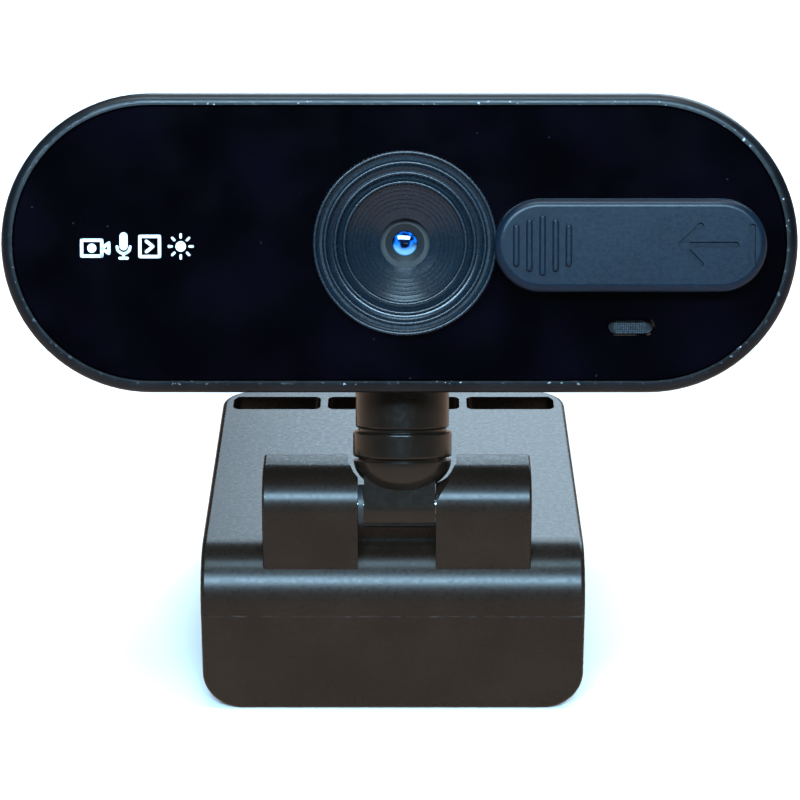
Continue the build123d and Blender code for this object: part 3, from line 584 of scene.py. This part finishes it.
def focus_ring():
    """The finely knurled ring: four raised ridges round a stepped funnel."""
    shoulder_y = PANEL_Y - 0.3
    chamfer = 0.12
    profile = [
        (RING_SLEEVE_R, RING_BACK_Y),
        (RING_BORE_R + chamfer, RING_BACK_Y),
        (RING_BORE_R, RING_BACK_Y - 0.1),
    ]
    profile += funnel_profile() + ridge_profile()
    profile += [
        (RING_R, -11.1),
        (RING_R, shoulder_y - 0.15),
        (RING_R - chamfer, shoulder_y),
        (RING_SLEEVE_R, shoulder_y),
    ]
    vertices, faces = lathe(profile, RING_TEETH * 6, (LENS_X, CENTRE_Z), knurl)
    ring = add_mesh("focus_ring_knurled", vertices, faces, HEAD, "focus", "ring_plastic", 35)
    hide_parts("focus_ring")


# ---------------------------------------------------------------- neck seam
def collar_seam():
    """The mould seam down the front of the neck's collar, its flash a little uneven."""
    steps = 18
    buried = -0.05
    off_middle = 0.1
    vertices, faces = [], []
    for i in range(steps + 1):
        z = SEAM_BOTTOM_Z + SEAM_LENGTH * i / steps
        proud = 0.035 + 0.02 * math.sin(i * 1.9)
        for across, out in ((-0.13, buried), (-0.05, proud), (0.05, proud), (0.13, buried)):
            x = off_middle + across
            vertices.append((NECK_X + x, -math.sqrt(SEAM_R ** 2 - x ** 2) - out, z))
    for i in range(steps):
        for k in range(4):
            m = (k + 1) % 4
            faces.append((4 * i + k, 4 * i + m, 4 * i + 4 + m, 4 * i + 4 + k))
    faces += [(3, 2, 1, 0), tuple(4 * steps + k for k in range(4))]
    add_mesh("collar_seam", vertices, faces, HEAD, "neck", "neck_plastic", 50)


# ---------------------------------------------------------------- printed marks
LINE = 0.3
THIN = 0.26


def stroke(points, width, closed=False):
    """A line of that width as one convex outline for each run, each with half-round ends."""
    half_round = 8
    following = points[1:] + points[:1] if closed else points[1:]
    shapes = []
    for a, b in zip(points, following):
        a, b = Vector(a), Vector(b)
        along = (b - a).normalized() * width / 2
        shape = []
        for centre, sign in ((b, 1), (a, -1)):
            for k in range(half_round + 1):
                turn = Matrix.Rotation(-math.pi * (k / half_round - 0.5), 2)
                shape.append(tuple(centre + (turn @ (along * sign))))
        shapes.append(shape)
    return shapes


def around(x, y, radius, turn):
    """The point at a share of a full turn round (x, y)."""
    return (x + radius * math.cos(2 * math.pi * turn), y + radius * math.sin(2 * math.pi * turn))


def circle(x, y, radius):
    count = 28
    return [around(x, y, radius, i / count) for i in range(count)]


def camera_mark():
    marks = stroke([(0.15, 0.3), (2.0, 0.3), (2.0, 1.75), (0.15, 1.75)], LINE, True)
    marks += [circle(1.08, 1.02, 0.42)]
    return marks + stroke([(2.0, 1.0), (2.65, 1.5), (2.65, 0.55)], LINE, True)


def microphone_mark():
    cradle = [(3.4, 1.15), (3.45, 0.85), (3.7, 0.6), (4.0, 0.52), (4.3, 0.6), (4.55, 0.85), (4.6, 1.15)]
    marks = stroke([(4.0, 1.2), (4.0, 2.1)], 0.75) + stroke(cradle, THIN)
    return marks + stroke([(4.0, 0.5), (4.0, 0.12)], THIN) + stroke([(3.65, 0.1), (4.35, 0.1)], THIN)


def play_mark():
    marks = stroke([(5.5, 0.25), (7.3, 0.25), (7.3, 2.1), (5.5, 2.1)], LINE, True)
    return marks + stroke([(6.1, 0.7), (6.7, 1.18), (6.1, 1.65)], LINE)


def sun_mark():
    """A disc and eight rays, of which the left one ends in a dot."""
    x, y, rays = 9.25, 1.18, 8
    marks = stroke([(8.2, y), (8.2, y + 0.00001)], LINE) + [circle(x, y, 0.48)]
    for k in range(rays):
        marks += stroke([around(x, y, 0.82, k / rays), around(x, y, 1.1, k / rays)], 0.22)
    return marks


def printed_marks():
    """A row of plain white symbols on the panel, each a thin layer of ink."""
    vertices, faces = [], []
    for shape in camera_mark() + microphone_mark() + play_mark() + sun_mark():
        start, count = len(vertices), len(shape)
        for y in (PANEL_Y + INK_DEPTH, PANEL_Y - INK_PROUD):
            for a, b in shape:
                vertices.append((MARKS_LEFT_X + MARKS_SCALE * a, y, MARKS_BOTTOM_Z + MARKS_SCALE * b))
        faces.append(tuple(range(start, start + count)))
        faces.append(tuple(range(start + 2 * count - 1, start + count - 1, -1)))
        for k in range(count):
            m = (k + 1) % count
            faces.append((start + k, start + m, start + count + m, start + count + k))
    mesh = bpy.data.meshes.new("printed_marks")
    mesh.from_pydata([HEAD @ Vector(v) for v in vertices], [], faces)
    add_object("printed_marks", mesh, "head", "print_ink", 20)


# ---------------------------------------------------------------- floor, lights and camera
def studio():
    floor_mesh = bpy.data.meshes.new("floor")
    corners = [(x * FLOOR_HALF, y * FLOOR_HALF, 0) for x, y in ((-1, -1), (1, -1), (1, 1), (-1, 1))]
    floor_mesh.from_pydata(corners, [], [(0, 1, 2, 3)])
    floor = bpy.data.objects.new("floor", floor_mesh)
    bpy.context.collection.objects.link(floor)
    made = Shader("floor")
    made.colour(made.mix(made.ramp(made.noise(30.0, 3.0), 0.2, 0.8), (0.9, 0.89, 0.88), (0.93, 0.92, 0.91)))
    made.roughness(made.noise(10.0), 0.7, 0.8)
    made.set(Specular_IOR_Level=0.2)
    floor_mesh.materials.append(made.material)
    floor.visible_glossy = False
    room()
    for name, values in LIGHTS.items():
        soft_light(name, **values)


def room():
    """Faint surroundings for reflections: cool and dim above, warm below like a lit table."""
    world = bpy.data.worlds.new("studio")
    bpy.context.scene.world = world
    world.use_nodes = True
    tree = world.node_tree
    coords = tree.nodes.new("ShaderNodeTexCoord")
    parts = tree.nodes.new("ShaderNodeSeparateXYZ")
    blend = tree.nodes.new("ShaderNodeMapRange")
    blend.inputs["From Min"].default_value = -0.2
    blend.inputs["From Max"].default_value = 0.15
    mixed = tree.nodes.new("ShaderNodeMix")
    mixed.data_type = "RGBA"
    mixed.inputs[6].default_value = ROOM_BELOW
    mixed.inputs[7].default_value = ROOM_ABOVE
    tree.links.new(coords.outputs["Generated"], parts.inputs[0])
    tree.links.new(parts.outputs["Z"], blend.inputs["Value"])
    tree.links.new(blend.outputs["Result"], mixed.inputs["Factor"])
    tree.links.new(mixed.outputs[2], tree.nodes["Background"].inputs["Color"])


def soft_light(name, place, size, watts, tint):
    data = bpy.data.lights.new(name, "AREA")
    data.shape = "RECTANGLE"
    data.size, data.size_y = size
    data.energy = watts
    data.color = tint
    light = bpy.data.objects.new(name, data)
    bpy.context.collection.objects.link(light)
    light.location = place
    light.rotation_euler = (LIGHT_AIM - Vector(place)).to_track_quat("-Z", "Y").to_euler()


def camera():
    """Square on to the head's face, then turned down so that the head sits high in the frame."""
    data = bpy.data.cameras.new("camera")
    data.sensor_width = 36.0
    data.lens = FOCAL_LENGTH
    data.clip_start = 0.01
    data.clip_end = 20.0
    thing = bpy.data.objects.new("camera", data)
    bpy.context.collection.objects.link(thing)
    spot = HEAD @ Vector((0, CAMERA_Y, CENTRE_Z))
    level = math.pi / 2
    turn = Matrix.Rotation(level - LEAN - LOOK_DOWN, 4, "X") @ Matrix.Rotation(-LOOK_ASIDE, 4, "Y")
    thing.matrix_world = Matrix.Translation(spot) @ turn
    bpy.context.scene.camera = thing


# ---------------------------------------------------------------- build
bpy.context.scene.view_settings.view_transform = "Standard"
camera()
paint_nodes()
focus_ring()
collar_seam()
printed_marks()
studio()
